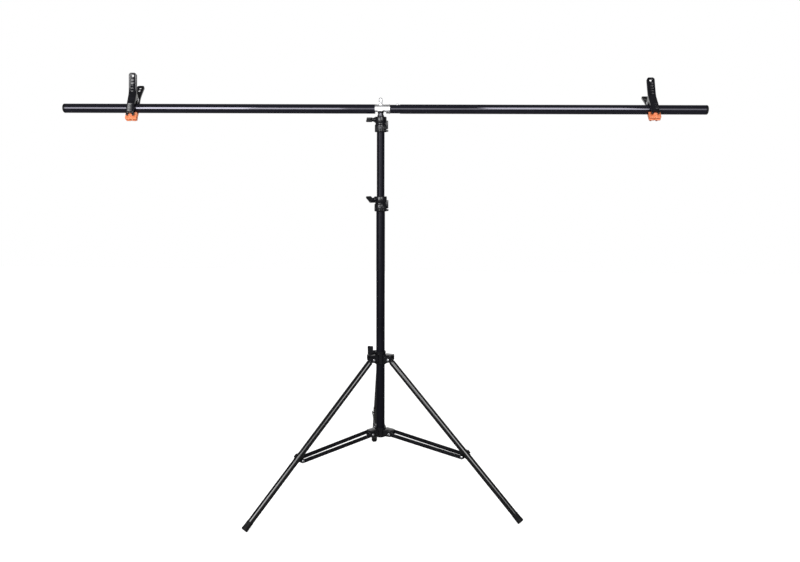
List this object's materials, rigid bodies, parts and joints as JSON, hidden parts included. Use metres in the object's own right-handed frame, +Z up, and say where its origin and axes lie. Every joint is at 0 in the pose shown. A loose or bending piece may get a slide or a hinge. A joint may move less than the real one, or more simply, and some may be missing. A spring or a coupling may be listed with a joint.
{
  "type": "backdrop stand",
  "caption": "Free-standing backdrop stand: folding tripod, telescopic column with wing-knob clamps, swivelling T-fitting, and a long round crossbar carrying spring clamps with orange pads.",
  "frame": {"origin": "on the floor under the centre of the bounding box", "axes": "+X along the crossbar, towards the arm with the coupling sleeve; +Z up along the column"},
  "size_m": [2, 0.7926, 1.3761],
  "materials": {
    "black_tube": "black gloss coating",
    "black_plastic": "satin black moulding",
    "black_steel": "black paint",
    "black_rubber": "matt",
    "bright_chrome": "bright plated",
    "plated_steel": "zinc plated",
    "orange_pad": "soft moulded"
  },
  "bodies": {
    "stand": {"bottom_tube": "black_tube", "bottom_tube_plug": "black_plastic", "lower_hub": "black_plastic", "hub_pin_1": "plated_steel", "hub_pin_2": "plated_steel", "hub_pin_3": "plated_steel", "middle_clamp": "black_plastic", "middle_clamp_rivet": "black_steel"},
    "leg_collar": {"leg_collar": "black_plastic", "leg_pin_1": "plated_steel", "leg_pin_2": "plated_steel", "leg_pin_3": "plated_steel"},
    "leg_collar_knob": {"leg_collar_knob": "black_plastic"},
    "middle_clamp_knob": {"middle_clamp_knob": "black_plastic"},
    "middle_section": {"middle_tube": "black_tube", "upper_clamp": "black_plastic", "upper_clamp_rivet": "black_steel"},
    "upper_clamp_knob": {"upper_clamp_knob": "black_plastic"},
    "upper_section": {"upper_tube": "black_tube", "spigot": "black_steel"},
    "t_fitting": {"t_fitting": "bright_chrome", "coupling_sleeve": "black_tube"},
    "cap_nut": {"cap_nut": "bright_chrome"},
    "snap_button": {"snap_button": "plated_steel"},
    "left_arm": {"crossbar_left": "black_tube", "bar_cap_left": "black_plastic"},
    "right_arm": {"crossbar_right": "black_tube", "bar_cap_right": "black_plastic"},
    "leg_1": {"leg_1": "black_tube", "leg_knuckle_1": "black_plastic", "leg_bracket_1": "black_steel", "foot_1": "black_rubber"},
    "brace_1": {"brace_1a": "black_steel", "brace_1b": "black_steel"},
    "leg_2": {"leg_2": "black_tube", "leg_knuckle_2": "black_plastic", "leg_bracket_2": "black_steel", "foot_2": "black_rubber"},
    "brace_2": {"brace_2a": "black_steel", "brace_2b": "black_steel"},
    "leg_3": {"leg_3": "black_tube", "leg_knuckle_3": "black_plastic", "leg_bracket_3": "black_steel", "foot_3": "black_rubber"},
    "brace_3": {"brace_3a": "black_steel", "brace_3b": "black_steel"},
    "clamp_left": {"clamp_left_front_lever": "black_plastic", "clamp_left_pin": "plated_steel", "clamp_left_spring": "plated_steel"},
    "clamp_left_rear": {"clamp_left_rear_lever": "black_plastic"},
    "clamp_left_front_pad": {"clamp_left_front_pad": "orange_pad"},
    "clamp_left_rear_pad": {"clamp_left_rear_pad": "orange_pad"},
    "clamp_right": {"clamp_right_front_lever": "black_plastic", "clamp_right_pin": "plated_steel", "clamp_right_spring": "plated_steel"},
    "clamp_right_rear": {"clamp_right_rear_lever": "black_plastic"},
    "clamp_right_front_pad": {"clamp_right_front_pad": "orange_pad"},
    "clamp_right_rear_pad": {"clamp_right_rear_pad": "orange_pad"}
  },
  "joints": [
    {"name": "collar_slide", "type": "slide", "parent": "stand", "child": "leg_collar", "axis": [0, 0, 1], "range_m": [0, 0.3935]},
    {"name": "leg_1_hinge", "type": "hinge", "parent": "leg_collar", "child": "leg_1", "pos_m": [-0.02653, -0.11586, 0.469], "axis": [0.5948, -0.8039, 0], "range_deg": [0, 42]},
    {"name": "brace_1_hinge", "type": "hinge", "parent": "stand", "child": "brace_1", "pos_m": [-0.03215, -0.12003, 0.221], "axis": [0.5948, -0.8039, 0], "range_deg": [-98.6, 0]},
    {"name": "leg_2_hinge", "type": "hinge", "parent": "leg_collar", "child": "leg_2", "pos_m": [0.03026, -0.10939, 0.469], "axis": [0.3987, 0.9171, 0], "range_deg": [0, 42]},
    {"name": "brace_2_hinge", "type": "hinge", "parent": "stand", "child": "brace_2", "pos_m": [0.03668, -0.11219, 0.221], "axis": [0.3987, 0.9171, 0], "range_deg": [-98.6, 0]},
    {"name": "leg_3_hinge", "type": "hinge", "parent": "leg_collar", "child": "leg_3", "pos_m": [-0.00374, -0.06345, 0.469], "axis": [-0.9936, -0.1132, 0], "range_deg": [0, 42]},
    {"name": "brace_3_hinge", "type": "hinge", "parent": "stand", "child": "brace_3", "pos_m": [-0.00453, -0.05649, 0.221], "axis": [-0.9936, -0.1132, 0], "range_deg": [-98.6, 0]},
    {"name": "leg_collar_knob_turn", "type": "hinge", "parent": "leg_collar", "child": "leg_collar_knob", "pos_m": [-0.02155, -0.08686, 0.487], "axis": [-0.9171, 0.3987, 0], "continuous": true},
    {"name": "middle_clamp_knob_turn", "type": "hinge", "parent": "stand", "child": "middle_clamp_knob", "pos_m": [-0.01917, -0.10821, 0.986], "axis": [-0.848, -0.5299, 0], "continuous": true},
    {"name": "middle_tube_slide", "type": "slide", "parent": "stand", "child": "middle_section", "axis": [0, 0, 1], "range_m": [-0.195, 0.27]},
    {"name": "upper_clamp_knob_turn", "type": "hinge", "parent": "middle_section", "child": "upper_clamp_knob", "pos_m": [-0.02135, -0.09661, 1.232], "axis": [-0.9998, -0.0174, 0], "continuous": true},
    {"name": "upper_tube_slide", "type": "slide", "parent": "middle_section", "child": "upper_section", "axis": [0, 0, 1], "range_m": [0, 0.47]},
    {"name": "t_fitting_swivel", "type": "hinge", "parent": "upper_section", "child": "t_fitting", "pos_m": [0, -0.09624, 1.2646], "axis": [0, 0, 1], "continuous": true},
    {"name": "cap_nut_turn", "type": "hinge", "parent": "t_fitting", "child": "cap_nut", "pos_m": [0, -0.09624, 1.29], "axis": [0, 0, 1], "continuous": true},
    {"name": "snap_button_press", "type": "slide", "parent": "t_fitting", "child": "snap_button", "axis": [0, 0, -1], "range_m": [0, 0.003], "stiffness_N_per_m": 800, "springref_m": -0.002},
    {"name": "left_arm_pull", "type": "slide", "parent": "t_fitting", "child": "left_arm", "axis": [-1, 0, 0], "range_m": [0, 0.09]},
    {"name": "right_arm_pull", "type": "slide", "parent": "t_fitting", "child": "right_arm", "axis": [1, 0, 0], "range_m": [0, 0.07]},
    {"name": "clamp_left_slide", "type": "slide", "parent": "left_arm", "child": "clamp_left", "axis": [1, 0, 0], "range_m": [-0.192, 0.688]},
    {"name": "clamp_left_jaw", "type": "hinge", "parent": "clamp_left", "child": "clamp_left_rear", "pos_m": [-0.78, -0.08168, 1.29198], "axis": [1, 0, 0], "range_deg": [0, 40], "stiffness_Nm_per_rad": 1, "springref_deg": -51.57},
    {"name": "clamp_left_front_pad_rock", "type": "hinge", "parent": "clamp_left", "child": "clamp_left_front_pad", "pos_m": [-0.78, -0.11847, 1.24324], "axis": [1, 0, 0], "range_deg": [-4, 4]},
    {"name": "clamp_left_rear_pad_rock", "type": "hinge", "parent": "clamp_left_rear", "child": "clamp_left_rear_pad", "pos_m": [-0.78, -0.10151, 1.23423], "axis": [1, 0, 0], "range_deg": [-4, 4]},
    {"name": "clamp_right_slide", "type": "slide", "parent": "right_arm", "child": "clamp_right", "axis": [1, 0, 0], "range_m": [-0.727, 0.143]},
    {"name": "clamp_right_jaw", "type": "hinge", "parent": "clamp_right", "child": "clamp_right_rear", "pos_m": [0.835, -0.07394, 1.28614], "axis": [1, 0, 0], "range_deg": [0, 40], "stiffness_Nm_per_rad": 1, "springref_deg": -51.57},
    {"name": "clamp_right_front_pad_rock", "type": "hinge", "parent": "clamp_right", "child": "clamp_right_front_pad", "pos_m": [0.835, -0.12398, 1.25116], "axis": [1, 0, 0], "range_deg": [-4, 4]},
    {"name": "clamp_right_rear_pad_rock", "type": "hinge", "parent": "clamp_right_rear", "child": "clamp_right_rear_pad", "pos_m": [0.835, -0.11064, 1.23734], "axis": [1, 0, 0], "range_deg": [-4, 4]}
  ],
  "couplings": [
    {"joint": "leg_1_hinge", "follows": "collar_slide", "rad_per_m": 1.8626},
    {"joint": "brace_1_hinge", "follows": "collar_slide", "rad_per_m": -4.3696},
    {"joint": "leg_2_hinge", "follows": "collar_slide", "rad_per_m": 1.8626},
    {"joint": "brace_2_hinge", "follows": "collar_slide", "rad_per_m": -4.3696},
    {"joint": "leg_3_hinge", "follows": "collar_slide", "rad_per_m": 1.8626},
    {"joint": "brace_3_hinge", "follows": "collar_slide", "rad_per_m": -4.3696}
  ]
}
